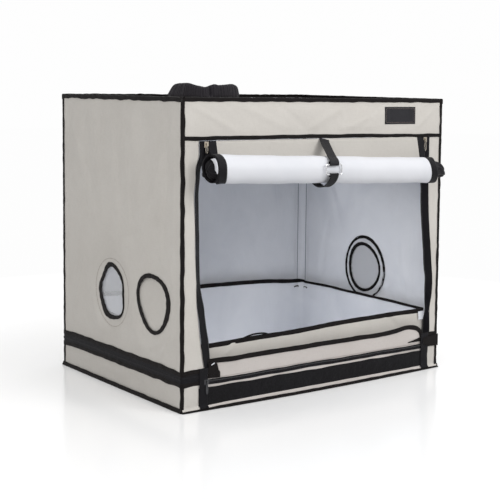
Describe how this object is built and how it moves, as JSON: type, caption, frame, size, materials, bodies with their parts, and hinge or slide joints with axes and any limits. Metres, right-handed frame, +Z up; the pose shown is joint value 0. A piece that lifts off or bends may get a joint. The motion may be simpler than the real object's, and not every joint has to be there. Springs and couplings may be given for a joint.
{
  "type": "indoor grow tent",
  "caption": "Soft-walled grow tent on a steel tube frame, with its zip door rolled up under a strap, side vents, a roof duct sleeve and a lift-out spill tray.",
  "frame": {"origin": "middle of the tent's floor sheet, on the surface that the tent stands on", "axes": "+Z up; -Y is the door side; +X is to the right as seen from the door"},
  "size_m": [0.8015, 0.6604, 0.738],
  "materials": {
    "cover_cloth": "matt coated polyester cloth, warm pale grey",
    "lining": "smooth reflective lining, silver white",
    "floor_cloth": "matt coated cloth, black",
    "black_tape": "woven binding tape, black",
    "black_webbing": "ribbed webbing, black",
    "white_steel": "powder coated steel tube, white",
    "white_plastic": "moulded plastic, white",
    "zinc": "nickel plated zinc casting",
    "chrome": "chrome plated wire",
    "insect_net": "woven net, white"
  },
  "bodies": {
    "tent": {"corner_bottom_front_left": "white_plastic", "corner_bottom_front_right": "white_plastic", "corner_bottom_back_left": "white_plastic", "corner_bottom_back_right": "white_plastic", "corner_top_front_left": "white_plastic", "corner_top_front_right": "white_plastic", "corner_top_back_left": "white_plastic", "corner_top_back_right": "white_plastic", "pole_front_left": "white_steel", "pole_front_right": "white_steel", "pole_back_left": "white_steel", "pole_back_right": "white_steel", "rail_bottom_front": "white_steel", "rail_bottom_back": "white_steel", "rail_bottom_left": "white_steel", "rail_bottom_right": "white_steel", "rail_top_front": "white_steel", "rail_top_back": "white_steel", "rail_top_left": "white_steel", "rail_top_right": "white_steel", "left_wall": "cover_cloth", "right_wall": "cover_cloth", "back_wall": "cover_cloth", "roof_panel": "cover_cloth", "front_header": "cover_cloth", "front_pillar_left": "cover_cloth", "front_pillar_right": "cover_cloth", "front_base": "cover_cloth", "floor_sheet": "floor_cloth", "base_binding": "black_tape", "upper_binding": "black_tape", "side_zip_band": "black_tape", "door_zip": "black_tape", "left_vent_ring": "black_tape", "duct_port_ring": "black_tape", "right_vent_ring": "black_tape", "hook_band": "black_webbing", "duct_sleeve": "black_webbing", "label_patch": "black_webbing", "left_vent_net": "insect_net", "right_vent_net": "insect_net"},
    "door": {"door_roll": "lining", "door_tape_left": "black_tape", "door_tape_right": "black_tape", "roll_strap_upper": "black_webbing", "roll_strap_lower": "black_webbing", "strap_ring": "chrome"},
    "left_slider": {"zip_slider_left": "zinc"},
    "left_pull": {"zip_pull_left": "zinc"},
    "right_slider": {"zip_slider_right": "zinc"},
    "right_pull": {"zip_pull_right": "zinc"},
    "base_slider": {"zip_slider_base": "zinc"},
    "base_pull": {"zip_pull_base": "zinc"},
    "tray": {"spill_tray": "lining", "tray_rim": "black_tape"},
    "sill_flap": {"sill_flap": "cover_cloth"},
    "port_flap": {"duct_port_flap": "cover_cloth"},
    "vent_cover": {"right_vent_cover": "cover_cloth"},
    "front_bar": {"hanger_bar_front": "white_steel"},
    "back_bar": {"hanger_bar_back": "white_steel"}
  },
  "joints": [
    {"name": "door_swing", "type": "hinge", "parent": "tent", "child": "door", "pos_m": [0, -0.2845, 0.6083], "axis": [-1, 0, 0], "range_deg": [0, 75]},
    {"name": "left_zip_run", "type": "slide", "parent": "tent", "child": "left_slider", "axis": [0, 0, -1], "range_m": [0, 0.49]},
    {"name": "left_pull_flip", "type": "hinge", "parent": "left_slider", "child": "left_pull", "pos_m": [-0.3375, -0.2889, 0.6], "axis": [-1, 0, 0], "range_deg": [0, 150]},
    {"name": "right_zip_run", "type": "slide", "parent": "tent", "child": "right_slider", "axis": [0, 0, -1], "range_m": [0, 0.49]},
    {"name": "right_pull_flip", "type": "hinge", "parent": "right_slider", "child": "right_pull", "pos_m": [0.3375, -0.2889, 0.6], "axis": [-1, 0, 0], "range_deg": [0, 150]},
    {"name": "base_zip_run", "type": "slide", "parent": "tent", "child": "base_slider", "axis": [1, 0, 0], "range_m": [0, 0.6]},
    {"name": "base_pull_flip", "type": "hinge", "parent": "base_slider", "child": "base_pull", "pos_m": [-0.3335, -0.2889, 0.064], "axis": [-1, 0, 0], "range_deg": [0, 80]},
    {"name": "tray_lift", "type": "slide", "parent": "tent", "child": "tray", "axis": [0, 0, 1], "range_m": [0, 0.25]},
    {"name": "sill_flap_fold", "type": "hinge", "parent": "tent", "child": "sill_flap", "pos_m": [0, -0.2813, 0.0716], "axis": [1, 0, 0], "range_deg": [0, 85]},
    {"name": "port_flap_open", "type": "hinge", "parent": "tent", "child": "port_flap", "pos_m": [-0.3966, -0.164, 0.304], "axis": [0, 1, 0], "range_deg": [-85, 0]},
    {"name": "vent_cover_open", "type": "hinge", "parent": "tent", "child": "vent_cover", "pos_m": [0.4009, 0.002, 0.3085], "axis": [0, -1, 0], "range_deg": [0, 80]},
    {"name": "front_bar_slide", "type": "slide", "parent": "tent", "child": "front_bar", "axis": [0, 1, 0], "range_m": [-0.12, 0.1]},
    {"name": "back_bar_slide", "type": "slide", "parent": "tent", "child": "back_bar", "axis": [0, 1, 0], "range_m": [-0.12, 0.1]}
  ]
}
